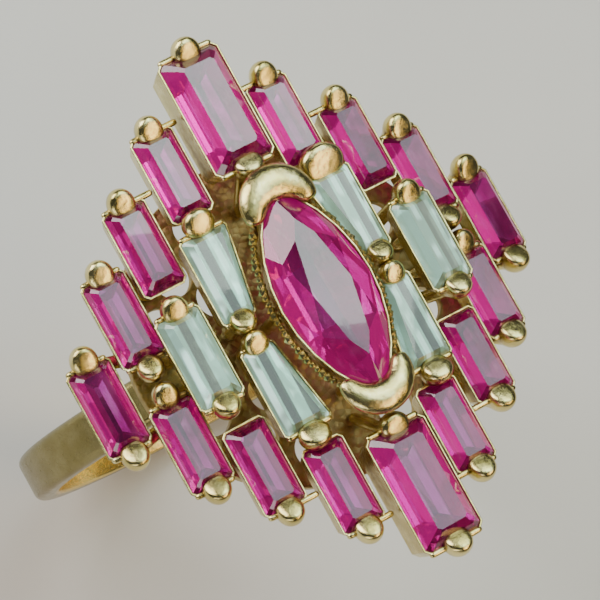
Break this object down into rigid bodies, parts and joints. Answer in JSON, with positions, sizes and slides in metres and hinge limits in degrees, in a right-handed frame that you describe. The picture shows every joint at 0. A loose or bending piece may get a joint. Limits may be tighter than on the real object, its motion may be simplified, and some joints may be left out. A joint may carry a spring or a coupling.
{
  "type": "cocktail ring",
  "caption": "Domed lozenge cluster ring: box-set ruby and diamond baguettes around a raised marquise ruby with two horn claws, on a plain yellow-gold hoop.",
  "frame": {"origin": "centre of the finger hole", "axes": "+Y along the finger, which is the hoop's axis and every stone's long axis; +Z out through the middle of the head; +X across the head"},
  "size_m": [0.021, 0.0242, 0.0254],
  "materials": {
    "yellow_gold": "polished 18 carat yellow gold",
    "ruby": "step-cut pinkish-red ruby",
    "diamond": "step-cut colourless diamond"
  },
  "bodies": {
    "root": {"diamond_1": "diamond", "diamond_2": "diamond", "diamond_3": "diamond", "diamond_4": "diamond", "diamond_5": "diamond", "diamond_6": "diamond", "diamond_setting_1": "yellow_gold", "diamond_setting_2": "yellow_gold", "diamond_setting_3": "yellow_gold", "diamond_setting_4": "yellow_gold", "diamond_setting_5": "yellow_gold", "diamond_setting_6": "yellow_gold", "gallery_plate": "yellow_gold", "hoop": "yellow_gold", "horn_claw_lower": "yellow_gold", "horn_claw_upper": "yellow_gold", "marquise_collet": "yellow_gold", "marquise_ruby": "ruby", "ruby_01": "ruby", "ruby_02": "ruby", "ruby_03": "ruby", "ruby_04": "ruby", "ruby_05": "ruby", "ruby_06": "ruby", "ruby_07": "ruby", "ruby_08": "ruby", "ruby_09": "ruby", "ruby_10": "ruby", "ruby_11": "ruby", "ruby_12": "ruby", "ruby_13": "ruby", "ruby_14": "ruby", "ruby_15": "ruby", "ruby_16": "ruby", "ruby_setting_01": "yellow_gold", "ruby_setting_02": "yellow_gold", "ruby_setting_03": "yellow_gold", "ruby_setting_04": "yellow_gold", "ruby_setting_05": "yellow_gold", "ruby_setting_06": "yellow_gold", "ruby_setting_07": "yellow_gold", "ruby_setting_08": "yellow_gold", "ruby_setting_09": "yellow_gold", "ruby_setting_10": "yellow_gold", "ruby_setting_11": "yellow_gold", "ruby_setting_12": "yellow_gold", "ruby_setting_13": "yellow_gold", "ruby_setting_14": "yellow_gold", "ruby_setting_15": "yellow_gold", "ruby_setting_16": "yellow_gold", "shoulder_left": "yellow_gold", "shoulder_right": "yellow_gold"}
  },
  "joints": []
}
